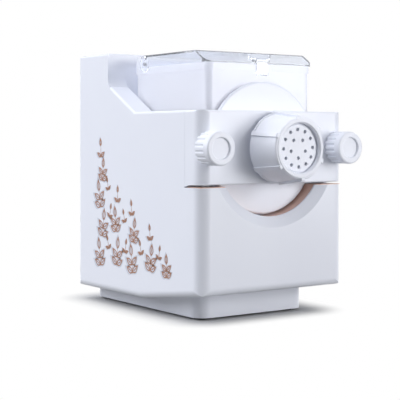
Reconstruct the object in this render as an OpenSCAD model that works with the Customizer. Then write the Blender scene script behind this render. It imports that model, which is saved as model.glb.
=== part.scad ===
// Electric pasta maker with a mixing bowl, a geared drive and a screw extruder.
// The x axis runs across the machine, y from the nozzle to the back, z up from the table.
// The origin lies on the table, under the middle of the whole machine.

/* [Housing] */
// Width across the side walls
body_w = 205; // [190:1:250]
// Depth from the front face to the back
body_d = 274; // [260:1:330]
// Height of the shoulders beside the bowl
deck_h = 234; // [228:1:244]
// Height of the rear tower
tower_h = 306; // [300:1:370]
// Depth of the rear tower
tower_d = 79.5; // [76:0.5:100]
// Radius of the upright corners
corner_r = 14; // [8:1:20]
// Wall thickness of the mouldings
wall = 2.8; // [2:0.1:3.5]
// Radius of the upper edges
edge_r = 3; // [1:0.5:5]
// Radius of the lower edges
lower_r = 8; // [4:1:12]
// Height of the underside at the back
under_back = 18; // [14:1:24]
// Height of the underside at the front
under_front = 33.5; // [26:0.5:40]
// Run of the rising underside, from the front
under_run = 122; // [80:1:150]
// Slope of the ramp between shoulder and tower, in degrees
ramp_slope = 29.5; // [20:0.5:40]
// Height at which the ramp meets the tower
ramp_top = 268; // [255:1:280]

/* [Plinth] */
// Inset of the plinth from each side
plinth_side = 26; // [18:1:32]
// Inset of the plinth from the front
plinth_front = 40; // [25:1:50]
// Inset of the plinth from the back
plinth_back = 3; // [2:1:12]
// Radius of the plinth corners
plinth_r = 16; // [8:1:24]
// Gap between table and plinth
foot_gap = 2.5; // [1.5:0.5:5]

/* [Bowl] */
// Height of the bowl, drive and nozzle axis
axis_h = 192.5; // [190:0.5:200]
// Outer radius of the bowl's round bottom
bowl_r = 74; // [70:0.5:76]
// Wall thickness of the bowl
bowl_wall = 2.2; // [1.6:0.1:3]
// Height of the bowl's rim
bowl_top = 287.5; // [280:0.5:300]
// Set-back of the bowl from the front face
bowl_set = 27; // [26:0.5:32]
// Free space between bowl and tower
bowl_gap = 16.5; // [15:0.5:24]
// Free space between bowl and trough
trough_gap = 3; // [2:0.5:4]

/* [Lid] */
// Height of the lid's top
lid_top = 301.5; // [297:0.5:315]
// Run of the slanted lid front
lid_bevel = 19; // [10:1:30]
// Wall thickness of the lid
lid_wall = 2; // [1.6:0.1:2.4]
// Distance of the hinge pin from the bowl's rear
hinge_in = 26; // [24:0.5:34]
// Radius of the hinge pin
pin_r = 2; // [1.5:0.1:2.5]

/* [Front panel] */
// Depth of the beam in front of the disc
beam_t = 20.5; // [18:0.5:22]
// Depth of the beam's side returns
beam_wrap = 30; // [26:1:34]
// Height of the slit under the beam
slit = 3.2; // [1.5:0.1:4]
// Height of the beam
beam_h = 81.2; // [74:0.1:82]
// Gap between the round disc and the well
disc_gap = 2; // [1:0.5:7]
// Thickness of the disc
disc_t = 4; // [3:0.5:5]
// Radius of the scooped recess at the front face
scoop_r = 89; // [84:1:94]
// Depth of the scoop's bevel
scoop_t = 6.5; // [4:0.5:12]

/* [Extruder] */
// Bore radius of the extruder barrel
barrel_r = 24.6; // [20:0.1:25]
// Wall thickness of the barrel
barrel_wall = 5.9; // [5:0.1:7]
// Reach of the die nut in front of the housing
nut_reach = 44.7; // [40:0.1:56]
// Rear radius of the die nut, without its grips
nut_rear_r = 38.2; // [37:0.1:42]
// Front radius of the die nut, without its grips
nut_front_r = 33.2; // [32:0.1:38]
// Height of the raised grips on the die nut
grip_h = 1.6; // [1:0.1:2.5]
// Height of the ridges at both ends of each grip
ridge_h = 3.2; // [2:0.1:4]
// Number of holes in the die's outer ring
die_outer = 12; // [8:1:14]
// Number of holes in the die's inner ring
die_inner = 5; // [3:1:6]
// Radius of each die hole
die_hole_r = 1.9; // [1:0.1:2.2]
// Turns of the auger flight
auger_turns = 3; // [2:0.5:4]

/* [Thumb nuts] */
// Distance of each thumb nut's axis from the side
thumb_in = 10.8; // [9:0.1:14]
// Radius of the thumb nuts
thumb_r = 18.6; // [14:0.1:19]
// Length of the thumb nuts
thumb_len = 24; // [20:0.5:30]
// Radius of the tie rods
rod_r = 3; // [2.5:0.1:4]

/* [Drive] */
// Teeth on the three pinions
pinion_teeth = 16; // [15:1:18]
// Teeth on the first wheel
wheel1_teeth = 56; // [50:1:58]
// Teeth on the second wheel
wheel2_teeth = 50; // [46:1:52]
// Teeth on the third wheel
wheel3_teeth = 46; // [42:1:48]
// Module of the first, second and third pair
gear_mod = [1, 1.25, 1.5];
// Radius of the motor case
motor_r = 36; // [30:0.5:38]
// Length of the motor case
motor_len = 105; // [80:1:110]

/* [Controls] */
// Radius of the round buttons
button_r = 7; // [5:0.5:8]
// Distance between neighbouring buttons
button_pitch = 24; // [20:1:28]
// Travel of the buttons
button_travel = 1; // [0.5:0.1:1.2]

/* [Hidden] */
$fn = 64;

white = [0.93, 0.94, 0.97];
clear = [0.90, 0.93, 0.98, 0.45];
copper = [0.80, 0.44, 0.28];
steel = [0.70, 0.71, 0.73];
grey = [0.45, 0.46, 0.48];
dark = [0.16, 0.16, 0.18];
board = [0.12, 0.38, 0.22];
nylon = [0.88, 0.86, 0.80];

// Clearances: between fixed mouldings, between moving parts and of a running fit
fixed_gap = 0.3;
free_gap = 0.4;
run_gap = 0.05;

// Stations along the machine
front_y = -(body_d - nut_reach) / 2;
back_y = front_y + body_d;
mid_y = (front_y + back_y) / 2;
tower_y = back_y - tower_d;
plate_y = front_y + beam_t;
bowl_y0 = front_y + bowl_set;
bowl_y1 = tower_y - bowl_gap;
nut_y0 = front_y - nut_reach;
nut_y1 = front_y - 4.4;
slit_z = deck_h - beam_h - slit;
wrap_y = front_y + beam_wrap;

// Small geometry helpers
function unit(v) = v / norm(v);
function turn_of(a) = a > 180 ? a - 360 : a < -180 ? a + 360 : a;
// One corner b of an outline, between its neighbours a and c, as an arc of radius b[2]
function arc_corner(a, b, c, n = 8) =
    let (
        p = [b[0], b[1]],
        u = unit([a[0], a[1]] - p),
        v = unit([c[0], c[1]] - p),
        half = acos(u * v) / 2,
        middle = p + unit(u + v) * b[2] / sin(half),
        t0 = p + u * b[2] / tan(half) - middle,
        t1 = p + v * b[2] / tan(half) - middle,
        a0 = atan2(t0[1], t0[0]),
        sweep = turn_of(atan2(t1[1], t1[0]) - a0)
    )
    [for (i = [0:n]) middle + b[2] * [cos(a0 + sweep * i / n), sin(a0 + sweep * i / n)]];
// A closed outline of [x, y, radius] corners
function rounded_outline(c) =
    [for (i = [0:len(c) - 1])
        each c[i][2] == 0
            ? [[c[i][0], c[i][1]]]
            : arc_corner(c[(i + len(c) - 1) % len(c)], c[i], c[(i + 1) % len(c)])];

// Rectangle with round corners, centred
module rounded(w, d, r) {
    square([w - 2 * r, d], center = true);
    square([w, d - 2 * r], center = true);
    for (sx = [-1, 1], sy = [-1, 1])
        translate([sx * (w / 2 - r), sy * (d / 2 - r)]) circle(r);
}

// A side view, drawn as y and z, given the width w
module across(w) {
    rotate([90, 0, 90]) linear_extrude(w, center = true) children();
}

// A front view, drawn as x and z, given the depth from y0 to y1
module along(y0, y1) {
    translate([0, y1, 0]) rotate([90, 0, 0]) linear_extrude(y1 - y0) children();
}

// A profile of radius and y, turned about a horizontal axis at height z
module turned(z = axis_h, angle = 360, start = 0) {
    translate([0, 0, z]) rotate([-90, 0, 0]) rotate_extrude(angle = angle, start = start) children();
}

// A round bar or hole along y
module rod(r, y0, y1, x = 0, z = axis_h) {
    translate([x, y0, z]) rotate([-90, 0, 0]) cylinder(r = r, h = y1 - y0);
}

// ---------- housing ----------
bend_y = front_y + under_run;
under_slope = atan((under_front - under_back) / under_run);
ramp_y = tower_y - (ramp_top - deck_h) / tan(ramp_slope);
side_outline = rounded_outline([
    [front_y, under_front, lower_r],
    [front_y, deck_h, edge_r],
    [ramp_y, deck_h, 70],
    [tower_y, ramp_top, 12],
    [tower_y, tower_h, edge_r],
    [back_y, tower_h, edge_r],
    [back_y, under_back, lower_r],
    [bend_y, under_back, 0]
]);

// Cross-section below height z1, with round upper corners of radius r
module upper_section(half, z0, z1, r) {
    translate([-half, z0]) square([2 * half, z1 - z0 - r]);
    translate([r - half, z1 - r]) square([2 * (half - r), r]);
    for (s = [-1, 1]) translate([s * (half - r), z1 - r]) circle(r);
}

// Cross-section above height z0, with round lower corners of radius r
module lower_section(half, z0, z1, r) {
    polygon(rounded_outline([[-half, z0, r], [half, z0, r], [half, z1, 0], [-half, z1, 0]]));
}

// The outer form of the housing, drawn in by i for its inner face
module body_form(i = 0) {
    half = body_w / 2 - i;
    rt = edge_r - min(i, edge_r - 0.2);
    rb = lower_r - i;
    far = body_d + 100;
    intersection() {
        across(body_w - 2 * i) offset(delta = -i) polygon(side_outline);
        translate([0, mid_y, -1])
            linear_extrude(tower_h + 2) rounded(body_w - 2 * i, body_d - 2 * i, corner_r - i);
        // upper edges: shoulders, ramp, tower
        union() {
            along(front_y - 1, back_y + 1) upper_section(half, -1, deck_h - i, rt);
            translate([0, ramp_y, deck_h]) rotate([ramp_slope, 0, 0])
                along(-4, (ramp_top - deck_h) / sin(ramp_slope) + 8) upper_section(half, -60, -i, rt);
            along(tower_y - 4, back_y + 1) upper_section(half, deck_h - 40, tower_h - i, rt);
        }
        // lower edges: level at the back, rising at the front
        along(front_y - 1, back_y + 1) lower_section(half, under_back + i, tower_h + 9, rb);
        translate([0, bend_y, under_back]) rotate([-under_slope, 0, 0])
            along(-far, far) lower_section(half, i, tower_h + far, rb);
    }
}

screw_r = 1.5;
trough_r = bowl_r + trough_gap;
disc_r = trough_r - disc_gap;
trim_t = 1;
trim_y0 = front_y + scoop_t + 2;
trim_y1 = front_y + 34;
seat_r = trough_r + trim_t + 0.2;
strip_t = 0.7;
bevel_run = (scoop_r - trough_r) / scoop_t;

// The bevel of the scooped front, moved out by g; it runs on past the well's radius
module scoop(g = 0) {
    r0 = scoop_r + g * norm([1, bevel_run]) + bevel_run;
    r1 = trough_r - 2;
    turned() polygon([[0, front_y - 1], [r0, front_y - 1], [r1, front_y - 1 + (r0 - r1) / bevel_run],
        [0, front_y - 1 + (r0 - r1) / bevel_run]]);
}

// The well that holds the bowl, with its scooped front and the seat of the trim, widened by g
module well(g = 0) {
    along(front_y + scoop_t - 1 - g, tower_y + g) {
        translate([0, axis_h]) circle(trough_r + g);
        translate([-trough_r - g, axis_h]) square([2 * (trough_r + g), tower_h]);
    }
    scoop(g);
    rod(seat_r + g, trim_y0 - g, trim_y1 + g);
}

// The space that the front beam fills, widened by g
module beam_space(g = 0) {
    along(front_y - 1, wrap_y + fixed_gap + g)
        translate([-body_w, slit_z - g]) square([2 * body_w, tower_h]);
}

cover_w = body_w - 30;
cover_z0 = under_front + 14;
cover_z1 = tower_h - 14;
panel_w = body_w - 15;
panel_d = tower_d - 14;
panel_y = tower_y + tower_d / 2;
panel_t = 2.5;
panel_r = 8;
boss_x = body_w / 2 - plinth_side - 9;
boss_y = [front_y + plinth_front + 36, back_y - plinth_back - 40];
boss_z = foot_gap + 8;
boss_top = under_front + 20;
rod_x = body_w / 2 - thumb_in;

module plinth_outline(i = 0) {
    y0 = front_y + plinth_front + i;
    y1 = back_y - plinth_back - i;
    translate([0, (y0 + y1) / 2]) rounded(body_w - 2 * plinth_side - 2 * i, y1 - y0, plinth_r - i);
}

drive_hole_r = 13.2;
ledge = 2;
boss_r = 5;
rib_t = 3;
// One-piece outer shell with shoulders, well and tower
module housing() {
    color(white) union() {
        difference() {
            body_form();
            difference() {
                body_form(wall);
                well(wall);
                beam_space(wall);
            }
            well();
            beam_space();
            // opening for the base tray
            translate([0, 0, -1]) linear_extrude(under_front + 12) plinth_outline(-fixed_gap);
            // rear opening, and the rebate that takes the cover flush
            along(back_y - wall - 1, back_y + 1)
                cover_outline(cover_lap);
            along(back_y - rebate, back_y + 1) cover_outline(0);
            // top opening for the control panel
            translate([0, panel_y, tower_h - wall - 1])
                linear_extrude(wall + 2) rounded(panel_w, panel_d, panel_r);
            // drive opening in the tower wall
            rod(drive_hole_r, tower_y - 1, tower_y + wall + 1);
            // holes for the tie rods
            for (s = [-1, 1]) rod(rod_r + fixed_gap, wrap_y, wrap_y + wall + 2, s * rod_x);
        }
        // ledge under the control panel
        translate([0, panel_y, tower_h - panel_t - ledge]) linear_extrude(ledge) difference() {
            rounded(panel_w + 2 * ledge, panel_d + 2 * ledge, panel_r + ledge);
            rounded(panel_w - 3 * ledge, panel_d - 3 * ledge, panel_r - 1.5 * ledge);
        }
        // screw bosses, each carried by a rib from the side wall
        for (s = [-1, 1], y = boss_y) difference() {
            union() {
                translate([s * boss_x, y, boss_z]) cylinder(r = boss_r, h = boss_top - boss_z);
                translate([s * (boss_x + body_w / 2 - 1) / 2, y, boss_top - rib_t])
                    cube([body_w / 2 - boss_x - 2, rib_t, 2 * rib_t], center = true);
            }
            translate([s * boss_x, y, boss_z - 1]) cylinder(r = screw_r + 0.1, h = 24);
        }
    }
}

// ---------- rear cover ----------
vent_n = 9;
vent_pitch = 9;
inlet_w = 27;
inlet_h = 20;
inlet_x = cover_w / 2 - 22;
inlet_z = cover_z0 + 34;
inlet_depth = 20;
rebate = 1.6;
cover_r = 10;
cover_lap = 4;
cover_zc = (cover_z0 + cover_z1) / 2;
cover_screw_in = 12;
cover_screw_at = [for (sx = [-1, 1], z = [cover_z0 + cover_screw_in, cover_z1 - cover_screw_in])
    [sx * (cover_w / 2 - cover_screw_in), z]];

// Outline of the rear cover, drawn in by i
module cover_outline(i) {
    translate([0, cover_zc]) rounded(cover_w - 2 * i, cover_z1 - cover_z0 - 2 * i, cover_r - min(i, 8));
}

// Rear cover with cooling slots and the opening of the power inlet
module rear_cover() {
    color(white) difference() {
        union() {
            along(back_y - rebate + 0.1, back_y) cover_outline(fixed_gap);
            along(back_y - wall - 2, back_y - rebate + 0.2) cover_outline(cover_lap + fixed_gap);
        }
        along(back_y - wall - 3, back_y - 2.4) difference() {
            cover_outline(6.5);
            for (p = cover_screw_at) translate(p) circle(6);
        }
        for (i = [0:vent_n - 1]) along(back_y - 6, back_y + 1)
            translate([0, cover_zc + (i - (vent_n - 1) / 2) * vent_pitch + 10]) rounded(84, 3, 1.4);
        along(back_y - 6, back_y + 1)
            translate([inlet_x, inlet_z]) rounded(inlet_w + 2 * fixed_gap, inlet_h + 2 * fixed_gap, 2);
        for (p = cover_screw_at) {
            rod(screw_r + 0.3, back_y - 6, back_y + 1, p[0], p[1]);
            rod(head_r + 0.4, back_y - head_t - 0.3, back_y + 1, p[0], p[1]);
        }
    }
}

head_r = 3;
head_t = 1.5;
screw_len = 10;
module cover_screws() {
    y1 = back_y - 0.3;
    color(steel) for (p = cover_screw_at) {
        rod(head_r, y1 - head_t, y1, p[0], p[1]);
        rod(screw_r, y1 - screw_len, y1 - head_t, p[0], p[1]);
    }
}

// ---------- base ----------
floor_t = 3;
floor_z = foot_gap + floor_t;
foot_r = 11;
foot_x = body_w / 2 - plinth_side - 18;
foot_y = [front_y + plinth_front + 18, back_y - plinth_back - 18];
plug_pin_r = 2.5;
board_y = front_y + plinth_front + 25;
board_z = floor_z + 6;
pcb_w = 96;
pcb_d = 32;
saddle_t = 10;
sill_t = 5;
sill_h = 8;
slot_pitch = 12;

// Tray that closes the underside and forms the plinth
module base_tray() {
    saddle_y = motor_y0 + 24;
    saddle_top = motor_z - motor_r * 0.6;
    color(white) difference() {
        union() {
            difference() {
                translate([0, 0, foot_gap]) linear_extrude(under_front + 8 - foot_gap) plinth_outline(0);
                translate([0, 0, floor_z]) linear_extrude(under_front + 8) plinth_outline(wall);
            }
            for (s = [-1, 1], y = boss_y) translate([s * boss_x, y, foot_gap])
                cylinder(r = boss_r + 1.5, h = boss_z - foot_gap - fixed_gap);
            // pillars under the power board
            for (sx = [-1, 1], sy = [-1, 1])
                translate([sx * (pcb_w / 2 - 4), board_y + sy * (pcb_d / 2 - 4), foot_gap])
                cylinder(r = 3, h = board_z - foot_gap);
            // saddle under the motor
            difference() {
                translate([0, saddle_y, (floor_z + saddle_top) / 2])
                    cube([1.44 * motor_r, saddle_t, saddle_top - floor_z + 1], center = true);
                rod(motor_r + run_gap, saddle_y - saddle_t, saddle_y + saddle_t, 0, motor_z);
            }
            // sill that holds the gearbox plate
            translate([0, plate0_y - sill_t / 2, floor_z + sill_h / 2 - 1])
                cube([90, sill_t, sill_h], center = true);
        }
        for (s = [-1, 1], y = boss_y) translate([s * boss_x, y, foot_gap - 1]) {
            cylinder(r = screw_r + 0.3, h = 20);
            cylinder(r = head_r + 0.6, h = 4);
        }
        for (s = [-1, 1], y = foot_y) translate([s * foot_x, y, foot_gap - 1])
            cylinder(r = plug_pin_r + 0.1, h = floor_t + 2);
        // air slots under the motor
        for (i = [-3:3]) translate([i * slot_pitch, motor_y0 - 2, foot_gap - 1])
            linear_extrude(floor_t + 2) rounded(4, 34, 1.9);
    }
}

module base_screws() {
    color(steel) for (s = [-1, 1], y = boss_y) translate([s * boss_x, y, foot_gap + 0.4]) {
        cylinder(r = head_r, h = 2.4);
        cylinder(r = screw_r, h = 18);
    }
}

// Rubber feet, plugged into the tray
module feet() {
    color(dark) for (s = [-1, 1], y = foot_y) translate([s * foot_x, y, 0]) {
        cylinder(r1 = foot_r - 1, r2 = foot_r, h = foot_gap);
        cylinder(r = plug_pin_r, h = foot_gap + floor_t);
    }
}

// Copper-coloured strip: a half ring in the scoop, and a flat strip on each side of it
module copper_trim() {
    ring_r = trough_r + 0.1 + trim_t / 2;
    strip_x0 = sqrt(pow(ring_r, 2) - pow(axis_h - slit_z, 2));
    strip_x1 = body_w / 2 - 3;
    color(copper) difference() {
        union() {
            turned() translate([ring_r - trim_t / 2, trim_y0]) square([trim_t, trim_y1 - trim_y0]);
            for (s = [-1, 1])
                translate([s * (strip_x0 + strip_x1) / 2, front_y + beam_wrap / 2 + 1, slit_z + strip_t / 2])
                    cube([strip_x1 - strip_x0, beam_wrap - 5, strip_t], center = true);
        }
        translate([0, front_y + beam_wrap / 2, slit_z + strip_t + body_w / 2])
            cube([body_w, 2 * beam_wrap, body_w], center = true);
        scoop();
    }
}

// ---------- controls on the tower ----------
display_w = 44;
display_d = 18;
display_y = panel_y - 13;
button_y = panel_y + 12;
button_x = [for (i = [0:3]) (i - 1.5) * button_pitch];
button_bottom = tower_h - 7;
pcb_top = tower_h - 12.4;
pcb_t = 1.6;

module control_panel() {
    color(white) difference() {
        union() {
            translate([0, panel_y, tower_h - panel_t]) linear_extrude(panel_t)
                rounded(panel_w - 2 * fixed_gap, panel_d - 2 * fixed_gap, panel_r - fixed_gap);
            for (sx = [-1, 1], sy = [-1, 1]) translate([sx * 66, panel_y + sy * 18, pcb_top])
                cylinder(r = 3, h = tower_h - pcb_top - 1);
        }
        translate([0, display_y, tower_h - 1.6])
            linear_extrude(3) rounded(display_w + 2 * fixed_gap, display_d + 2 * fixed_gap, 2.3);
        translate([0, display_y, tower_h - 9]) linear_extrude(10) rounded(display_w - 4, display_d - 4, 1);
        for (x = button_x) translate([x, button_y, tower_h - 9]) cylinder(r = button_r + free_gap, h = 12);
    }
}

module display_window() {
    color(dark) translate([0, display_y, tower_h - 1.6]) linear_extrude(1.6) rounded(display_w, display_d, 2);
}

// Circuit board with the display and one switch under each button
module panel_board() {
    color(board) union() {
        translate([0, panel_y, pcb_top - pcb_t]) linear_extrude(pcb_t) rounded(144, 48, 2);
        translate([0, display_y, pcb_top]) linear_extrude(tower_h - 2.2 - pcb_top) rounded(38, 12, 0.5);
        for (x = button_x) translate([x, button_y, pcb_top]) {
            linear_extrude(2.5) rounded(6, 6, 0.4);
            cylinder(r = 1.7, h = button_bottom - button_travel - 0.3 - pcb_top);
        }
    }
}

// Push button, held up under the panel by its flange
module push_button(x) {
    color(grey) translate([x, button_y, 0]) {
        translate([0, 0, button_bottom]) cylinder(r = button_r, h = tower_h + 0.5 - button_bottom);
        translate([0, 0, tower_h - panel_t - fixed_gap - 1.4]) cylinder(r = button_r + 2, h = 1.4);
    }
}
module power_button() { push_button(button_x[0]); }
module program_button() { push_button(button_x[1]); }
module time_button() { push_button(button_x[2]); }
module start_button() { push_button(button_x[3]); }

// ---------- gearbox and motor ----------
plate_t = 3;
plate0_y = tower_y + wall + 3;
plate1_y = back_y - 12;
gears_y = plate0_y + plate_t;
// Place and width of the three stages, as shares of the room between the plates
gear_room = (plate1_y - gears_y) / 58.5;
stage_y = [for (at = [4, 18, 34]) gears_y + at * gear_room];
stage_w = [for (w = [10, 12, 14]) w * gear_room];
pair_teeth = [wheel1_teeth, wheel2_teeth, wheel3_teeth];
centre = [for (i = [0:2]) gear_mod[i] * (pinion_teeth + pair_teeth[i]) / 2];
second_z = axis_h - centre[2];
first_z = second_z - centre[1];
motor_z = first_z - centre[0];
motor_y0 = plate0_y - motor_len;
gear_pin_r = 5;
shaft_r = 6;
bearing_r = 13;
motor_shaft_r = 3;
motor_screw_at = [for (a = [45:90:315]) [24 * cos(a), motor_z + 24 * sin(a)]];
post_at = [for (sx = [-1, 1], z = [floor_z + 40, axis_h + 36]) [sx * 43, z]];
backlash = 0.16;
pressure = 20;

// Involute angle of the pressure angle a, in degrees
function inv(a) = tan(a) * 180 / PI - a;
// Outline of a spur gear of module m with n teeth, with one tooth centred at angle a0
function gear_outline(m, n, a0) =
    let (
        rp = m * n / 2,
        rb = rp * cos(pressure),
        tip = rp + 0.92 * m,
        root = rp - 1.2 * m,
        half = 90 / n - backlash / rp * 90 / PI + inv(pressure),
        start = max(rb, root),
        flank = [for (k = [0:3]) start + (tip - start) * k / 3],
        lean = [for (r = flank) half - inv(acos(rb / r))],
        side = concat([[root, lean[0]]], [for (k = [0:3]) [flank[k], lean[k]]])
    )
    [for (i = [0:n - 1]) let (a = a0 + i * 360 / n) each concat(
        [for (k = [0:4]) side[k][0] * [cos(a - side[k][1]), sin(a - side[k][1])]],
        [for (k = [4:-1:0]) side[k][0] * [cos(a + side[k][1]), sin(a + side[k][1])]]
    )];

// Toothed disc of stage s at height z
module teeth(s, n, z, a0) {
    along(stage_y[s], stage_y[s] + stage_w[s]) translate([0, z]) polygon(gear_outline(gear_mod[s], n, a0));
}

web_t = 4;
// Wheel with a thin pierced web between hub and rim
module wheel(s, n, z, hub_r) {
    rim_r = gear_mod[s] * (n / 2 - 3);
    web_r = hub_r + 3;
    hole_at = (rim_r + web_r) / 2;
    y0 = stage_y[s];
    y1 = y0 + stage_w[s];
    deep = (stage_w[s] - web_t) / 2;
    difference() {
        teeth(s, n, z, 270 + 180 / n);
        for (y = [y0 - 1, y1 - deep]) difference() {
            rod(rim_r, y, y + deep + 1, 0, z);
            rod(web_r, y - 1, y + deep + 2, 0, z);
        }
        for (a = [0:72:288])
            rod((rim_r - web_r) * 0.32, y0 - 1, y1 + 1, hole_at * cos(a), z + hole_at * sin(a));
    }
}

// Wheel and pinion in one piece, turning on a fixed pin
module compound_gear(s, n, z, y1) {
    color(nylon) difference() {
        union() {
            wheel(s, n, z, gear_pin_r);
            teeth(s + 1, pinion_teeth, z, 90);
            rod(gear_pin_r + 3, gears_y + 0.6, y1, 0, z);
        }
        rod(gear_pin_r + run_gap, gears_y, y1 + 20, 0, z);
    }
}
module first_gear() { compound_gear(0, wheel1_teeth, first_z, stage_y[1] + stage_w[1]); }
module second_gear() { compound_gear(1, wheel2_teeth, second_z, stage_y[2] + stage_w[2]); }

module output_gear() {
    color(nylon) difference() {
        union() {
            wheel(2, wheel3_teeth, axis_h, shaft_r + 1);
            rod(shaft_r + 4, gears_y + 2, plate1_y - 2.6, 0, axis_h);
        }
        rod(shaft_r, gears_y, plate1_y, 0, axis_h);
    }
}

hex_r = 6.6;
socket_y1 = tower_y - 2.5;
drive_y0 = bowl_y1 + 6;
// Output shaft with its six-sided drive end
module output_shaft() {
    color(steel) union() {
        rod(shaft_r, tower_y - 2, plate1_y + plate_t + 2);
        translate([0, drive_y0, axis_h]) rotate([-90, 30, 0])
            cylinder(r = hex_r, h = tower_y - 1 - drive_y0, $fn = 6);
    }
}

// Outline of the gearbox plates: a column, with or without arms to the tie rods
module plate_outline(arms) {
    difference() {
        union() {
            translate([-48, floor_z]) square([96, axis_h + 46 - floor_z]);
            if (arms) translate([0, axis_h]) rounded(2 * rod_x + 10, 26, 5);
        }
        translate([0, axis_h]) circle(bearing_r);
        for (z = [first_z, second_z]) translate([0, z]) circle(gear_pin_r);
        for (p = post_at) translate(p) circle(screw_r + 0.2);
    }
}

module gearbox_front_plate() {
    color(steel) difference() {
        along(plate0_y, plate0_y + plate_t) plate_outline(true);
        rod(9.2, plate0_y - 1, gears_y + 1, 0, motor_z);
        for (s = [-1, 1]) rod(rod_r, plate0_y - 1, gears_y + 1, s * rod_x);
        for (p = motor_screw_at) rod(screw_r + 0.2, plate0_y - 1, gears_y + 1, p[0], p[1]);
    }
}
module gearbox_rear_plate() {
    color(steel) along(plate1_y, plate1_y + plate_t) plate_outline(false);
}
module gearbox_posts() {
    color(steel) for (p = post_at) difference() {
        rod(4, gears_y, plate1_y, p[0], p[1]);
        rod(screw_r, gears_y - 1, plate1_y + 1, p[0], p[1]);
    }
}
module gear_pins() {
    color(steel) for (z = [first_z, second_z]) rod(gear_pin_r, plate0_y, plate1_y + plate_t, 0, z);
}
module output_bearings() {
    color(steel) for (y = [plate0_y - 1.5, plate1_y - 1.5]) difference() {
        rod(bearing_r, y, y + 6);
        rod(shaft_r + run_gap, y - 1, y + 7);
        difference() {
            rod(bearing_r - 2.4, y + 5.2, y + 7);
            rod(shaft_r + 2.2, y + 5, y + 8);
        }
    }
}
module output_seal() {
    color(dark) turned() polygon([
        [shaft_r + 0.3, tower_y - 0.5], [15, tower_y - 0.5], [15, tower_y], [13.2, tower_y],
        [13.2, tower_y + wall], [11, tower_y + wall], [11, tower_y + 0.8], [shaft_r + 0.3, tower_y + 0.8]
    ]);
}

// Steel rods that tie the gearbox plate to the front panel
module tie_rods() {
    color(steel) for (s = [-1, 1]) {
        rod(rod_r, front_y - 17, gears_y + 5, s * rod_x);
        for (y = [plate0_y - 3, gears_y]) rod(rod_r + 2.5, y, y + 3, s * rod_x, $fn = 6);
        rod(rod_r + 2.5, wrap_y + wall + fixed_gap, wrap_y + wall + fixed_gap + 3, s * rod_x);
    }
}

module motor_case() {
    color(steel) difference() {
        union() {
            rod(motor_r, motor_y0 + 6, plate0_y, 0, motor_z);
            rod(9, plate0_y - 1, gears_y + 2, 0, motor_z);
        }
        rod(motor_r - 3, motor_y0, plate0_y - 3, 0, motor_z);
        rod(motor_shaft_r + run_gap, plate0_y - 9, gears_y + 9, 0, motor_z);
        for (p = motor_screw_at) rod(screw_r, plate0_y - 4, plate0_y + 1, p[0], p[1]);
    }
}
module motor_end_bell() {
    color(dark) difference() {
        union() {
            rod(motor_r, motor_y0, motor_y0 + 6, 0, motor_z);
            rod(8, motor_y0 - 2, motor_y0 + 10, 0, motor_z);
        }
        rod(motor_shaft_r + run_gap, motor_y0 - 9, motor_y0 + 20, 0, motor_z);
        for (i = [0:5]) rod(5, motor_y0 - 1, motor_y0 + 7, 21 * cos(60 * i), motor_z + 21 * sin(60 * i));
    }
}
module motor_screws() {
    color(steel) for (p = motor_screw_at) {
        rod(screw_r, plate0_y - 4, gears_y, p[0], p[1]);
        rod(head_r, gears_y, gears_y + 1.8, p[0], p[1]);
    }
}
module motor_rotor() {
    y0 = motor_y0 + 24;
    y1 = plate0_y - 20;
    color(copper) union() {
        rod(motor_shaft_r, motor_y0 - 15, stage_y[0] + stage_w[0], 0, motor_z);
        rod(12, motor_y0 + 11, y0, 0, motor_z);
        rod(24, y0 - 4, y1 + 6, 0, motor_z);
        difference() {
            rod(motor_r - 5, y0, y1, 0, motor_z);
            for (i = [0:11]) translate([0, 0, motor_z]) rotate([0, 30 * i, 0])
                translate([motor_r - 5, (y0 + y1) / 2, 0]) cube([9, y1 - y0 + 2, 3], center = true);
        }
    }
}
module motor_pinion() {
    color(steel) difference() {
        teeth(0, pinion_teeth, motor_z, 90);
        rod(motor_shaft_r, stage_y[0] - 1, stage_y[0] + stage_w[0] + 1, 0, motor_z);
    }
}
module motor_fan() {
    y = motor_y0 - 13;
    color(dark) difference() {
        union() {
            rod(9, y, y + 10, 0, motor_z);
            rod(motor_r - 3, y, y + 1.6, 0, motor_z);
            for (i = [0:8]) translate([0, 0, motor_z]) rotate([0, 40 * i, 0])
                translate([(motor_r - 3 + 8) / 2, y + 5, 0]) cube([motor_r - 3 - 8, 9, 1.6], center = true);
        }
        rod(motor_shaft_r, y - 1, y + 11, 0, motor_z);
    }
}

// Motor supply board in front of the motor
module power_board() {
    color(board) union() {
        translate([0, board_y, board_z]) linear_extrude(pcb_t) rounded(pcb_w, pcb_d, 2);
        translate([-32, board_y, board_z]) cylinder(r = 9, h = 26);
        translate([-10, board_y - 3, board_z + 9]) cube([19, 16, 18], center = true);
        translate([12, board_y + 2, board_z]) cylinder(r = 7, h = 12);
        translate([33, board_y, board_z + 14]) cube([4, 26, 26], center = true);
        translate([24, board_y - 9, board_z + 4]) cube([10, 8, 8], center = true);
    }
}

// Three-pin appliance inlet, held behind the rear cover by its flange
inlet_flange = 2;
inlet_pins = [[-7, -1.5], [7, -1.5], [0, 2.5]];
module power_inlet() {
    translate([inlet_x, 0, inlet_z]) {
        color(dark) difference() {
            union() {
                along(back_y - inlet_depth, back_y - 0.2) rounded(inlet_w, inlet_h, 1.8);
                along(back_y - wall - 2 - inlet_flange, back_y - wall - 2.2)
                    rounded(inlet_w + 4, inlet_h + 4, 1.8);
            }
            along(back_y - inlet_depth + 2, back_y + 1) rounded(inlet_w - 3, inlet_h - 3.5, 2.5);
        }
        color(steel) for (p = inlet_pins)
            translate([p[0], back_y - inlet_depth + 6, p[1] - 2]) cube([2, 14, 4], center = true);
    }
}

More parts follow.
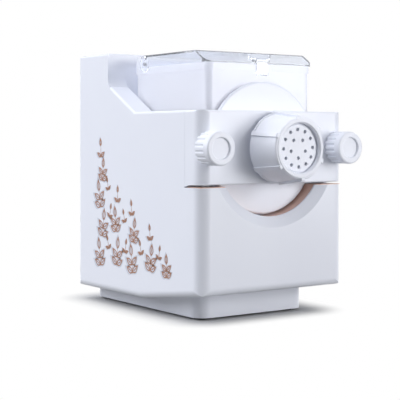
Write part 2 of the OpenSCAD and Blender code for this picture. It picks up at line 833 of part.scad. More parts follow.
// ---------- bowl and lid ----------
opening_r = bowl_r - 12;
rim_h = 8;
rim_out = 1.5;
hinge_y = bowl_y1 - hinge_in;
hinge_z = bowl_top + 4;
nose_r = lid_top - hinge_z;
lug_x = bowl_r - bowl_wall / 2;
seal_r = 11;

// Plan outline of bowl or lid, widened by g
module bowl_plan(g) {
    translate([0, (bowl_y0 + bowl_y1) / 2]) rounded(2 * (bowl_r + g), bowl_y1 - bowl_y0 + 2 * g, 8 + g);
}
// Front view of the bowl, widened by g
module bowl_section(g, top) {
    translate([0, axis_h]) circle(bowl_r + g);
    translate([-bowl_r - g, axis_h]) square([2 * (bowl_r + g), top - axis_h]);
}
module bowl_form(g, top) {
    intersection() {
        along(bowl_y0 - g, bowl_y1 + g) bowl_section(g, top);
        translate([0, 0, axis_h - bowl_r - 9]) linear_extrude(top - axis_h + bowl_r + 10) bowl_plan(g);
    }
}

// Clear tub, open to the front plate, with a rim and a fixed bridge behind the lid
module bowl() {
    bridge_y0 = hinge_y + nose_r + 1.8;
    color(clear) difference() {
        union() {
            bowl_form(0, bowl_top);
            translate([0, 0, bowl_top - rim_h]) linear_extrude(rim_h) bowl_plan(rim_out);
            // bridge behind the lid
            intersection() {
                across(2 * (bowl_r + rim_out)) polygon(rounded_outline([
                    [bridge_y0, bowl_top - 2, 0], [bridge_y0, lid_top, 2],
                    [bowl_y1 + rim_out, lid_top, 6], [bowl_y1 + rim_out, bowl_top - 2, 0]
                ]));
                translate([0, 0, bowl_top - 5]) linear_extrude(60) bowl_plan(rim_out);
            }
            // lugs for the hinge pins
            for (s = [-1, 1]) translate([s * lug_x, hinge_y, hinge_z]) {
                rotate([0, 90, 0]) cylinder(r = 5, h = bowl_wall, center = true);
                translate([0, 0, -4]) cube([bowl_wall, 10, 8], center = true);
            }
            rod(seal_r + 4, bowl_y1 - 1, bowl_y1 + 4);
        }
        difference() {
            bowl_form(-bowl_wall, lid_top + 20);
            translate([0, bridge_y0 + 50, lid_top - bowl_wall + 50]) cube([300, 100, 100], center = true);
        }
        rod(opening_r, bowl_y0 - 5, bowl_y0 + bowl_wall + 1);
        rod(seal_r, bowl_y1 - 9, bowl_y1 + 9);
        for (s = [-1, 1]) translate([s * lug_x, hinge_y, hinge_z])
            rotate([0, 90, 0]) cylinder(r = pin_r, h = 9, center = true);
    }
}

module hinge_pins() {
    x0 = bowl_r - bowl_wall - 1.4;
    x1 = lid_r;
    color(steel) for (s = [-1, 1]) translate([s * (x0 + x1) / 2, hinge_y, hinge_z])
        rotate([0, 90, 0]) cylinder(r = pin_r, h = x1 - x0, center = true);
}

module bowl_bush() {
    color(grey) difference() {
        union() {
            rod(seal_r, bowl_y1 - bowl_wall, bowl_y1 + 4);
            rod(seal_r + 4, bowl_y1 - bowl_wall - 2, bowl_y1 - bowl_wall);
        }
        rod(mixer_r + run_gap, bowl_y1 - 9, bowl_y1 + 9);
    }
}

lid_z = bowl_top + free_gap;
lid_r = bowl_r + rim_out + free_gap + lid_wall;
lug_x0 = bowl_r - bowl_wall - 1.1;
lug_x1 = lid_r - lid_wall + 0.2;
slot_n = 6;
// Side view of the lid, with its rounded nose about the hinge pin, lowered by d
function lid_outline(d) = concat(
    [[bowl_y0 - rim_out, lid_z - d], [bowl_y0 - rim_out, lid_z + 1]],
    [[bowl_y0 - rim_out + lid_bevel, lid_top]],
    [for (i = [0:10]) [hinge_y + nose_r * sin(9 * i), hinge_z + nose_r * cos(9 * i)]],
    [[hinge_y + nose_r, hinge_z - d], [hinge_y - 6, hinge_z - d], [hinge_y - 6, lid_z - d]]
);

// Clear lid with a slanted front, water slots, and ears around the hinge pins
module lid() {
    color(clear) difference() {
        union() {
            intersection() {
                difference() {
                    across(2 * lid_r) polygon(lid_outline(0));
                    across(2 * (lid_r - lid_wall)) offset(delta = -lid_wall) polygon(lid_outline(14));
                }
                translate([0, 0, bowl_top - 20]) linear_extrude(60)
                    translate([0, (bowl_y0 + bowl_y1) / 2])
                    rounded(2 * lid_r, bowl_y1 - bowl_y0 + 2 * rim_out, 9.5);
            }
            for (s = [-1, 1]) translate([s * (lid_r - lid_wall / 2), hinge_y, hinge_z])
                rotate([0, 90, 0]) cylinder(r = nose_r - 0.4, h = lid_wall, center = true);
            // bosses for the latch pin
            for (s = [-1, 1]) translate([s * (latch_w + latch_gap + boss_t - 1) / 2, latch_y + 1.8, latch_z])
                cube([boss_t + 1, 5, 5.6], center = true);
            // ribs that lead water to the slots
            for (s = [-1, 1]) translate([s * 34, bowl_y0 + 46, lid_top - lid_wall - 1.5])
                cube([1.6, 40, 4], center = true);
        }
        for (s = [-1, 1]) translate([s * (lid_r - lid_wall / 2), hinge_y, hinge_z])
            rotate([0, 90, 0]) cylinder(r = pin_r + run_gap, h = 9, center = true);
        // room for the lugs and the bowl's rim as the lid swings up
        for (s = [-1, 1]) translate([s * (lug_x0 + lug_x1) / 2, hinge_y + 11, hinge_z])
            cube([lug_x1 - lug_x0, 20, 60], center = true);
        for (i = [0:slot_n - 1]) translate([(i - (slot_n - 1) / 2) * 10, bowl_y0 + 44, lid_top - 9])
            linear_extrude(12) rounded(3.4, 26, 1.6);
        // seat of the latch and the holes of its pin
        translate([0, bowl_y0 - rim_out, lid_z + 3]) cube([latch_w + latch_gap, 8, 8], center = true);
        latch_rod(latch_pin_r, pin_len);
    }
}

latch_w = 16;
latch_gap = 1;
boss_t = 3;
latch_z = lid_z + 3.5;
latch_y = bowl_y0 - rim_out - 0.5;
latch_pin_r = 1;
pin_len = latch_w + latch_gap + 2 * boss_t - 1;
// A bar or hole of length l on the latch's axis
module latch_rod(r, l) {
    translate([0, latch_y + 1, latch_z]) rotate([0, 90, 0]) cylinder(r = r, h = l, center = true);
}
module latch_pin() {
    color(steel) latch_rod(latch_pin_r, pin_len);
}

// Snap latch that hooks under the bowl's rim
module lid_latch() {
    hook_z = bowl_top - rim_h;
    color(clear) difference() {
        across(latch_w) polygon(rounded_outline([
            [latch_y - 2, hook_z - 5, 1], [latch_y - 2, latch_z + 2.5, 1.5],
            [latch_y + 3.2, latch_z + 2.5, 1.5], [latch_y + 3.2, latch_z - 2, 0.8],
            [latch_y, latch_z - 3, 0.3], [latch_y, hook_z - 1.2, 0.3],
            [latch_y + 1.6, hook_z - 1.6, 0.3], [latch_y, hook_z - 5, 0.3]
        ]));
        latch_rod(latch_pin_r + run_gap, 2 * latch_w);
    }
}

// ---------- mixer ----------
mixer_r = 8;
hub_y0 = bowl_y0 + bowl_wall + 20;
hub_y1 = bowl_y1 - bowl_wall - 5;
sweep_r = bowl_r - bowl_wall - 3.8;
auger_y0 = front_y - 32.2;
auger_y1 = hub_y0 - 1;
auger_core = 11;
auger_r = barrel_r - free_gap;
spigot_r = 6;

// Mixer shaft with a six-sided socket at the back and a spigot for the auger
module mixer_shaft() {
    color(steel) difference() {
        union() {
            rod(spigot_r, auger_y0 + 5, hub_y0);
            rod(mixer_r, hub_y0 - 1, bowl_y1 + 5);
            rod(seal_r + 1, bowl_y1 + 4.8, socket_y1);
        }
        translate([0, drive_y0 - 0.6, axis_h]) rotate([-90, 30, 0])
            cylinder(r = hex_r + free_gap, h = 20, $fn = 6);
    }
}

arm_n = 4;
arm_pitch = (hub_y1 - hub_y0 - 26) / (arm_n - 1);
// Hub with radial arms, each ending in a curved scraper
module mixing_paddle() {
    color(nylon) difference() {
        union() {
            rod(mixer_r + 4, hub_y0, hub_y1);
            for (i = [0:arm_n - 1]) let (y = hub_y0 + 13 + i * arm_pitch, a = 45 + 90 * i) {
                translate([0, y, axis_h]) rotate([0, -a, 0]) translate([mixer_r, 0, 0]) rotate([0, 90, 0])
                    linear_extrude(sweep_r - mixer_r - 2) rounded(14, 6, 2.9);
                turned(angle = 26, start = -a - 13) polygon([
                    [sweep_r - 5, y - 12], [sweep_r - 1, y - 14], [sweep_r, y - 13], [sweep_r, y + 13],
                    [sweep_r - 1, y + 14], [sweep_r - 5, y + 12]
                ]);
            }
        }
        rod(mixer_r, hub_y0 - 1, hub_y1 + 1);
    }
}

flight_tip = 2.4;
flight_foot = 4.4;
auger_len = auger_y1 - auger_y0;
auger_steps = 14;
// Cross-section of the auger: its core with one tooth, which the twist draws out into the flight
module auger_section() {
    turn_per_mm = 360 * auger_turns / auger_len;
    tip = flight_tip * turn_per_mm / 2;
    foot = flight_foot * turn_per_mm / 2;
    polygon(concat(
        [for (a = [-tip, 0, tip]) auger_r * [cos(a), sin(a)]],
        [for (i = [0:16]) let (a = foot + (360 - 2 * foot) * i / 16) auger_core * [cos(a), sin(a)]]
    ));
}

// Screw that presses the dough through the die
module auger() {
    color(nylon) difference() {
        translate([0, auger_y0, axis_h]) rotate([-90, 0, 0])
            linear_extrude(auger_len, twist = 360 * auger_turns, slices = auger_steps * auger_turns,
                segments = 0) auger_section();
        rod(spigot_r, auger_y0 + 5, auger_y1 + 1);
    }
}

// ---------- front panel ----------
barrel_out = barrel_r + barrel_wall;
lip_t = 5.5;
die_t = 5;
die_y0 = nut_y0 + lip_t + 0.2;
barrel_y0 = die_y0 + die_t + 0.2;
plug_r = opening_r - 0.6;

// Round disc with the extruder barrel in one piece
module front_plate() {
    r = disc_r;
    color(white) turned() polygon([
        [barrel_r, barrel_y0], [barrel_out - 0.8, barrel_y0], [barrel_out, barrel_y0 + 0.8],
        [barrel_out, plate_y], [r - 2, plate_y], [r - 0.6, plate_y + 0.6], [r, plate_y + 2],
        [r, plate_y + disc_t], [plug_r, plate_y + disc_t], [plug_r, plate_y + disc_t + 7],
        [plug_r - 3, plate_y + disc_t + 7], [plug_r - 3, plate_y + disc_t],
        [barrel_r, plate_y + disc_t]
    ]);
}

beam_z0 = deck_h - beam_h;
rod_boss_r = 9;
return_z = slit_z + strip_t + fixed_gap;
// Full-width beam in front of the disc, hollow behind
module front_beam() {
    half = body_w / 2;
    side = rounded_outline([
        [front_y, beam_z0, 1.6], [front_y, deck_h, edge_r], [back_y, deck_h, 0],
        [back_y, return_z, 0], [wrap_y, return_z, 0], [wrap_y - 9, beam_z0, 6]
    ]);
    color(white) difference() {
        intersection() {
            across(body_w) polygon(side);
            translate([0, mid_y, -1]) linear_extrude(tower_h) rounded(body_w, body_d, corner_r);
            along(front_y - 1, wrap_y) upper_section(half, 0, deck_h, edge_r);
        }
        // hollow back
        intersection() {
            translate([0, mid_y, beam_z0 + wall]) linear_extrude(beam_h - 2 * wall)
                rounded(body_w - 2 * wall, body_d - 2 * wall, corner_r - wall);
            difference() {
                translate([0, wrap_y, axis_h]) cube([body_w, 2 * beam_wrap - 2 * wall, 300], center = true);
                rod(barrel_out + 4, front_y - 1, wrap_y + 1);
                for (s = [-1, 1]) rod(rod_boss_r, front_y - 1, wrap_y + 1, s * rod_x);
                for (s = [-1, 1], x = [50, 72]) translate([s * x, front_y + 10, axis_h])
                    cube([2, 22, 300], center = true);
            }
        }
        // room for the disc and the bowl between the side returns
        translate([0, plate_y + 50, axis_h]) cube([2 * trough_r + 4, 100, 300], center = true);
        rod(barrel_out + 0.1, front_y - 1, wrap_y + 1);
        for (s = [-1, 1]) rod(rod_r + free_gap, front_y - 1, wrap_y + 1, s * rod_x);
    }
}

module front_seal() {
    color(copper) turned() polygon([
        [plug_r + 0.1, plate_y + disc_t], [disc_r - 3, plate_y + disc_t],
        [disc_r - 3.5, bowl_y0 - fixed_gap], [plug_r + 0.1, bowl_y0 - fixed_gap]
    ]);
}

die_r = barrel_out - 0.3;
// Round die, its plain holes in two rings
module die() {
    outer_at = barrel_r - 4.2;
    inner_at = barrel_r - 14;
    color(white) difference() {
        union() {
            rod(die_r, die_y0, die_y0 + die_t);
            rod(die_r - 4.4, die_y0 - 1, die_y0 + 1);
        }
        for (i = [0:die_outer - 1]) let (a = 122 - i * 360 / die_outer)
            rod(die_hole_r, die_y0 - 2, die_y0 + die_t + 1, outer_at * cos(a), axis_h + outer_at * sin(a));
        for (i = [0:die_inner - 1]) let (a = 126 - i * 360 / die_inner)
            rod(die_hole_r, die_y0 - 2, die_y0 + die_t + 1, inner_at * cos(a), axis_h + inner_at * sin(a));
    }
}

grip_angle = 60;
ridge_angle = 8;
grip_at = [186, 306, 66];
// Tapered ring nut with three raised grips, which holds the die
module die_nut() {
    bore = barrel_out + free_gap;
    lip_r = die_r - 3;
    collar_r = nut_rear_r + 1.2;
    color(white) union() {
        turned() polygon([
            [bore, nut_y1], [collar_r, nut_y1], [collar_r, nut_y1 - 1.8], [nut_rear_r - 0.1, nut_y1 - 2.6],
            [nut_front_r, nut_y0 + 1.6], [nut_front_r - 1.4, nut_y0], [lip_r + 1.6, nut_y0],
            [lip_r, nut_y0 + 1.6], [lip_r, nut_y0 + lip_t], [bore, nut_y0 + lip_t]
        ]);
        for (a = grip_at) {
            turned(angle = grip_angle, start = -a - grip_angle / 2) grip_profile(grip_h, 0.8);
            for (e = [-1, 1]) turned(angle = ridge_angle, start = -a + e * grip_angle / 2 - ridge_angle / 2)
                grip_profile(ridge_h, 0.5);
        }
    }
}

// Radius-and-y profile of a raised band of height h along the die nut, set in by i at its ends
module grip_profile(h, i) {
    polygon([
        [nut_front_r - 2 * i, nut_y0 + i], [nut_front_r + h - 1.2, nut_y0 + i],
        [nut_front_r + h, nut_y0 + i + 1.4], [nut_rear_r + h, nut_y1 - i], [nut_rear_r - 2 * i, nut_y1 - i]
    ]);
}

rib_n = 18;
groove_r = 1.9;
groove_at = thumb_r + 0.6;
dish_r = 11;
// Thumb nut with a ribbed rear part and a recessed face
module thumb_nut(x) {
    y0 = front_y - thumb_len;
    y1 = front_y - free_gap;
    color(white) difference() {
        translate([x, 0, 0]) turned() polygon([
            [0, y0 + 2.2], [dish_r, y0 + 2.2], [dish_r + 0.8, y0 + 0.4], [dish_r + 1.4, y0],
            [thumb_r - 1.8, y0], [thumb_r - 0.5, y0 + 0.6], [thumb_r, y0 + 2], [thumb_r, y1], [0, y1]
        ]);
        for (i = [0:rib_n - 1]) let (a = 360 / rib_n * (i + 0.5))
            rod(groove_r, y0 + 8, y1 + 1, x + groove_at * cos(a), axis_h + groove_at * sin(a));
        rod(rod_r + free_gap, y0 + 5, y1 + 1, x);
    }
}
module left_thumb_nut() { thumb_nut(-rod_x); }
module right_thumb_nut() { thumb_nut(rod_x); }

housing();
rear_cover();
base_tray();
feet();
copper_trim();
control_panel();
display_window();
panel_board();
gearbox_front_plate();
gearbox_rear_plate();
gearbox_posts();
gear_pins();
output_bearings();
output_seal();
tie_rods();
motor_case();
motor_end_bell();
motor_screws();
power_board();
power_inlet();
base_screws();
cover_screws();
motor_rotor();
motor_pinion();
motor_fan();
first_gear();
second_gear();
output_gear();
output_shaft();
bowl();
hinge_pins();
bowl_bush();
lid();
latch_pin();
lid_latch();
mixer_shaft();
mixing_paddle();
auger();
front_plate();
front_beam();
front_seal();
die();
die_nut();
left_thumb_nut();
right_thumb_nut();
power_button();
program_button();
time_button();
start_button();
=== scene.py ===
import math

import bmesh
import bpy
from mathutils import Matrix, Vector


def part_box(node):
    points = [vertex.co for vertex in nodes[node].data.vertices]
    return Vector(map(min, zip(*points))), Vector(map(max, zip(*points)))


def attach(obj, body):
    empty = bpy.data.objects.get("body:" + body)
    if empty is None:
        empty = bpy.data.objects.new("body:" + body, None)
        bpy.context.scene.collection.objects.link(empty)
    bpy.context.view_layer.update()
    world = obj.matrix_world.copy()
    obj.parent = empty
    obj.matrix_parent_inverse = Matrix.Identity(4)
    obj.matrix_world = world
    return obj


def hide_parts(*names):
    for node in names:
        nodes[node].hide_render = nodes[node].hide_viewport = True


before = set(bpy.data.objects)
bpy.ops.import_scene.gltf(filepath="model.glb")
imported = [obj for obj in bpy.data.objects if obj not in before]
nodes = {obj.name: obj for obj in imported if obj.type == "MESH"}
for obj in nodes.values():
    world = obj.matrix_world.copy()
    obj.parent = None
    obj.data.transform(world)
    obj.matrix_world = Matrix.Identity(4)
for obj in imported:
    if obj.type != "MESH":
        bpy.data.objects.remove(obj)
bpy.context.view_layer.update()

# ---------------------------------------------------------------------------
# Camera and studio
# The machine is seen from its left front corner, at the height of the nozzle.
# The view is level, and the lens is shifted down to keep the upright edges upright.
# ---------------------------------------------------------------------------
FRONT_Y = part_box("front_beam")[0].y
EYE = Vector((-0.7785, FRONT_Y - 0.9658, 0.2045))
EYE_TURN = math.radians(34.98)

lens = bpy.data.cameras.new("studio_camera")
lens.sensor_width = 36.0
lens.lens = 99.58
lens.shift_y = -0.157
camera = bpy.data.objects.new("studio_camera", lens)
camera.location = EYE
camera.rotation_euler = (math.radians(90), 0, -EYE_TURN)
bpy.context.scene.collection.objects.link(camera)
bpy.context.scene.camera = camera
bpy.context.scene.view_settings.view_transform = "Standard"


def linear(hex_code):
    """An sRGB hex colour as linear red, green, blue and alpha."""
    values = [int(hex_code[i:i + 2], 16) / 255 for i in (1, 3, 5)]
    return [v / 12.92 if v <= 0.04045 else ((v + 0.055) / 1.055) ** 2.4 for v in values] + [1.0]


def add(tree, kind, settings=None, links=None):
    """Adds a shader node, sets its inputs or attributes, and links its inputs to other nodes."""
    made = tree.nodes.new(kind)
    for name, value in (settings or {}).items():
        if isinstance(name, int) or name in made.inputs:
            made.inputs[name].default_value = value
        else:
            setattr(made, name, value)
    for name, source in (links or {}).items():
        tree.links.new(source, made.inputs[name])
    return made


def bare(name):
    """A new material with an empty node tree and its output node."""
    made = bpy.data.materials.new(name)
    made.use_nodes = True
    made.node_tree.nodes.clear()
    return made, made.node_tree, add(made.node_tree, "ShaderNodeOutputMaterial")


# The paper sweep under the machine is a sheet that keeps the machine's contact shadow. Near the plinth
# the sheet is grey, well below white paper: painted shade that deepens that contact shadow.
# A short way out from the plinth it fades to the white of the background, and what it throws
# back up at the machine is dimmer than the sheet looks.
PAPER_HALF = 6.0
SHADOW_REACH = (0.010, 0.065)
PAPER_BOUNCE = 0.45
# Grey of the sheet near the plinth: painted shade that darkens the contact shadow.
PAINTED_SHADE_TONE = (0.56, 0.6)
PLINTH_INSET = 0.01

tray_low, tray_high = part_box("base_tray")
tray_middle = (tray_low + tray_high) / 2
tray_half = (tray_high - tray_low) / 2
paper, tree, out = bare("paper_sweep_with_painted_shade")
place = add(tree, "ShaderNodeTexCoord")
moved = add(tree, "ShaderNodeVectorMath",
            {"operation": "SUBTRACT", 1: (tray_middle.x, tray_middle.y, 0)}, {0: place.outputs["Object"]})
folded = add(tree, "ShaderNodeVectorMath", {"operation": "ABSOLUTE"}, {0: moved.outputs[0]})
beyond = add(tree, "ShaderNodeVectorMath",
             {"operation": "SUBTRACT", 1: (tray_half.x - PLINTH_INSET, tray_half.y - PLINTH_INSET, 0)},
             {0: folded.outputs[0]})
outside = add(tree, "ShaderNodeVectorMath", {"operation": "MAXIMUM", 1: (0, 0, 0)},
              {0: beyond.outputs[0]})
reach = add(tree, "ShaderNodeVectorMath", {"operation": "LENGTH"}, {0: outside.outputs[0]})
fade = add(tree, "ShaderNodeMapRange", {
    "interpolation_type": "SMOOTHSTEP", "From Min": SHADOW_REACH[0], "From Max": SHADOW_REACH[1]},
    {"Value": reach.outputs["Value"]})
fibre = add(tree, "ShaderNodeTexNoise", {"Scale": 900.0, "Detail": 3.0},
            {"Vector": place.outputs["Object"]})
# Painted shade: near the plinth the sheet's colour is grey, not paper white.
tone = add(tree, "ShaderNodeMapRange", {"To Min": PAINTED_SHADE_TONE[0], "To Max": PAINTED_SHADE_TONE[1]},
           {"Value": fibre.outputs["Fac"]})
path = add(tree, "ShaderNodeLightPath")
seen = add(tree, "ShaderNodeMath", {"operation": "MAXIMUM"},
           {0: path.outputs["Is Camera Ray"], 1: path.outputs["Is Glossy Ray"]})
seen_all = add(tree, "ShaderNodeMath", {"operation": "MAXIMUM"},
               {0: seen.outputs[0], 1: path.outputs["Is Transmission Ray"]})
level = add(tree, "ShaderNodeMapRange", {"To Min": PAPER_BOUNCE, "To Max": 1.0},
            {"Value": seen_all.outputs[0]})
painted_shade_colour = add(tree, "ShaderNodeMath", {"operation": "MULTIPLY"},
                 {0: tone.outputs["Result"], 1: level.outputs["Result"]})
sheet = add(tree, "ShaderNodeBsdfDiffuse", None, {"Color": painted_shade_colour.outputs[0]})
far_seen = add(tree, "ShaderNodeMath", {"operation": "MULTIPLY"},
               {0: fade.outputs["Result"], 1: seen_all.outputs[0]})
glow = add(tree, "ShaderNodeEmission", {"Color": (1, 1, 1, 1), "Strength": 1.0})
both = add(tree, "ShaderNodeMixShader", None,
           {0: far_seen.outputs[0], 1: sheet.outputs[0], 2: glow.outputs[0]})
tree.links.new(both.outputs[0], out.inputs["Surface"])

sweep = bpy.data.meshes.new("paper_sweep")
sweep.from_pydata([(x, y, 0.0) for x, y in ((-1, -1), (1, -1), (1, 1), (-1, 1))], [], [(0, 1, 2, 3)])
sweep.transform(Matrix.Scale(PAPER_HALF, 4))
floor = bpy.data.objects.new("paper_sweep", sweep)
sweep.materials.append(paper)
bpy.context.scene.collection.objects.link(floor)

# The room is white where it is seen directly. The light it gives is a soft fill from all round
# except from the photographer's side, which is dark.
ROOM_FILL = 0.58
DARK_FILL = 0.05
room = bpy.data.worlds.new("white_room")
bpy.context.scene.world = room
room.use_nodes = True
tree = room.node_tree
tree.nodes.clear()
path = add(tree, "ShaderNodeLightPath")
seen = add(tree, "ShaderNodeMath", {"operation": "MAXIMUM"},
           {0: path.outputs["Is Camera Ray"], 1: path.outputs["Is Transmission Ray"]})
heading = add(tree, "ShaderNodeTexCoord")
toward = add(tree, "ShaderNodeVectorMath",
             {"operation": "DOT_PRODUCT", 1: (-math.sin(EYE_TURN), -math.cos(EYE_TURN), 0)},
             {0: heading.outputs["Generated"]})
dark_side = add(tree, "ShaderNodeMapRange", {
    "interpolation_type": "SMOOTHSTEP", "From Min": 0.1, "From Max": 0.9,
    "To Min": ROOM_FILL, "To Max": DARK_FILL},
    {"Value": toward.outputs["Value"]})
fill = add(tree, "ShaderNodeBackground", {"Color": linear("#F0F2F8")},
           {"Strength": dark_side.outputs["Result"]})
white = add(tree, "ShaderNodeBackground", {"Color": (1, 1, 1, 1), "Strength": 1.0})
both = add(tree, "ShaderNodeMixShader", None,
           {0: seen.outputs[0], 1: fill.outputs[0], 2: white.outputs[0]})
add(tree, "ShaderNodeOutputWorld", None, {"Surface": both.outputs[0]})

# Three soft boxes: one behind the left side, one off the right front, and one above, left of the machine.
# Their places leave the near corner between them in half shade, as in the photograph.
MIDDLE = Vector((0.0, 0.0, 0.16))
SOFT_BOXES = [
    ("left_soft_box", (-2.1, 1.35, 1.25), (1.6, 1.4), 38.0, "#F4F6FD"),
    ("front_soft_box", (1.35, -2.25, 0.55), (1.5, 1.4), 41.0, "#FCFCFF"),
    ("top_soft_box", (-1.0, -0.1, 2.1), (1.6, 1.6), 27.0, "#F7F8FC"),
]
for name, spot, size, power, colour in SOFT_BOXES:
    box = bpy.data.lights.new(name, "AREA")
    box.shape = "RECTANGLE"
    box.size, box.size_y = size
    box.energy = power
    box.color = linear(colour)[:3]
    held = bpy.data.objects.new(name, box)
    held.location = spot
    held.rotation_euler = (MIDDLE - Vector(spot)).to_track_quat("-Z", "Y").to_euler()
    bpy.context.scene.collection.objects.link(held)


# ---------------------------------------------------------------------------
# Base tray and feet
# The tray is moulded in the same white ABS as the housing and forms the set-back plinth.
# Four rubber feet are plugged into it from below.
# ---------------------------------------------------------------------------
def soften(names, width, angle=28.0):
    """Gives moulded or turned pieces the small edge radius of the real ones, without changing their mesh."""
    for name in names:
        weld = nodes[name].modifiers.new("joined_faces", "WELD")
        weld.merge_threshold = 2e-6
        edge = nodes[name].modifiers.new("edge_radius", "BEVEL")
        edge.width = width
        edge.segments = 2
        edge.limit_method = "ANGLE"
        edge.angle_limit = math.radians(angle)
        edge.harden_normals = True
        edge.use_clamp_overlap = True
        even = nodes[name].modifiers.new("even_normals", "WEIGHTED_NORMAL")
        even.keep_sharp = True


def dress(names, material):
    """Puts one material on whole nodes."""
    for name in names:
        slots = nodes[name].data.materials
        slots.clear()
        slots.append(material)


CLOUD_SIZE = 0.09


def moulded(name, pale, deep, roughness, peel_mm, depth, ior=1.53, coat=0.0):
    """Injection-moulded plastic: two close tones in slow clouds, and the fine peel of the tool's surface."""
    made, tree, out = bare(name)
    place = add(tree, "ShaderNodeTexCoord")
    cloud = add(tree, "ShaderNodeTexNoise", {"Scale": 1 / CLOUD_SIZE, "Detail": 2.0},
                {"Vector": place.outputs["Object"]})
    tint = add(tree, "ShaderNodeMix", {"data_type": "RGBA", 6: linear(pale), 7: linear(deep)},
               {0: cloud.outputs["Fac"]})
    peel = add(tree, "ShaderNodeTexNoise", {"Scale": 1000 / peel_mm, "Detail": 2.0, "Roughness": 0.4},
               {"Vector": place.outputs["Object"]})
    gloss = add(tree, "ShaderNodeMapRange", {"To Min": roughness - 0.04, "To Max": roughness + 0.04},
                {"Value": peel.outputs["Fac"]})
    bump = add(tree, "ShaderNodeBump", {"Strength": 0.25, "Distance": depth / 1000},
               {"Height": peel.outputs["Fac"]})
    surface = add(tree, "ShaderNodeBsdfPrincipled", {"IOR": ior, "Coat Weight": coat, "Coat Roughness": 0.1},
                  {"Base Color": tint.outputs[2], "Roughness": gloss.outputs["Result"],
                   "Normal": bump.outputs["Normal"]})
    tree.links.new(surface.outputs[0], out.inputs["Surface"])
    return made


# White ABS with a polished tool finish: a soft wide gloss, and a trace of blue in the white.
white_abs = moulded("white_abs_polished", "#F4F7FE", "#F0F3FC", 0.30, 1.6, 0.02)
dress(["base_tray"], white_abs)
soften(["base_tray"], 0.0008)

# Natural rubber, filled black and moulded matt, with a fine grit.
rubber = moulded("rubber_black_matt", "#1B1B1D", "#141416", 0.85, 0.5, 0.06, ior=1.52)
dress(["feet", "output_seal"], rubber)
soften(["feet"], 0.0004)

# ---------------------------------------------------------------------------
# Housing and rear cover
# One large white shell with the well for the bowl and the tower, closed by a screwed cover.
# ---------------------------------------------------------------------------
dress(["housing", "rear_cover"], white_abs)
soften(["housing", "rear_cover"], 0.0007)


# ---------------------------------------------------------------------------
# Print on the left side
# Small plain twigs with pointed leaves, foil-printed in copper over pale grey shadows. They stand
# in columns that step down from the rear of the side wall to the front.
# ---------------------------------------------------------------------------
INK = 0.00012
WALL_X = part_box("housing")[0].x
PRINT_REAR = FRONT_Y + 0.212
# Each twig's foot: millimetres forward of the rear column and above the table; then its lean and length
TWIGS = [
    (0, 46, 82, 30), (4, 82, 98, 30), (0, 117, 80, 30), (4, 150, 96, 24), (1, 179, 86, 20),
    (38, 50, 96, 30), (37, 90, 84, 26), (40, 126, 92, 17),
    (75, 44, 82, 30), (76, 80, 97, 25), (73, 112, 84, 16),
    (112, 50, 98, 27), (113, 86, 84, 16), (147, 46, 88, 23),
    (20, 69, 74, 15), (21, 107, 104, 15), (19, 140, 76, 14), (57, 67, 102, 15), (57, 103, 76, 14),
    (94, 68, 76, 15), (130, 66, 102, 14),
]


def leaf_outline(at, turn, length, width, shrink=0.0, steps=9):
    """A pointed leaf as (y, z) points, drawn in by shrink for its inner line."""
    sides = []
    for side in (1, -1):
        row = []
        for i in range(steps + 1):
            u = i / steps
            half = max(width / 2 * math.sin(math.pi * u ** 0.8) - shrink, 0.00004)
            row.append((shrink * 1.6 + u * (length - 3.6 * shrink), side * half))
        sides += row if side == 1 else row[::-1]
    c, s = math.cos(turn), math.sin(turn)
    return [(at[0] + u * c - v * s, at[1] + u * s + v * c) for u, v in sides]


def print_ring(mesh, outer, inner, thick):
    """A closed raised line between two outlines of as many points."""
    loops = [[mesh.verts.new((x, y, z)) for y, z in line] for line, x in (
        (outer, WALL_X + INK), (outer, WALL_X - thick), (inner, WALL_X - thick), (inner, WALL_X + INK))]
    for first, second in zip(loops, loops[1:] + loops[:1]):
        for i in range(len(first)):
            j = (i + 1) % len(first)
            mesh.faces.new((first[i], first[j], second[j], second[i]))


def print_patch(mesh, outline, thick):
    """A closed raised patch of one outline."""
    low = [mesh.verts.new((WALL_X + INK, y, z)) for y, z in outline]
    high = [mesh.verts.new((WALL_X - thick, y, z)) for y, z in outline]
    mesh.faces.new(low)
    mesh.faces.new(high[::-1])
    for i in range(len(outline)):
        j = (i + 1) % len(outline)
        mesh.faces.new((low[j], low[i], high[i], high[j]))


def finished(mesh, name, material, body, smooth=False):
    """Turns a drawn mesh into a piece that rides on a body."""
    bmesh.ops.recalc_face_normals(mesh, faces=mesh.faces)
    data = bpy.data.meshes.new(name)
    mesh.to_mesh(data)
    mesh.free()
    data.materials.append(material)
    for face in data.polygons:
        face.use_smooth = smooth
    made = bpy.data.objects.new(name, data)
    bpy.context.scene.collection.objects.link(made)
    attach(made, body)
    return made


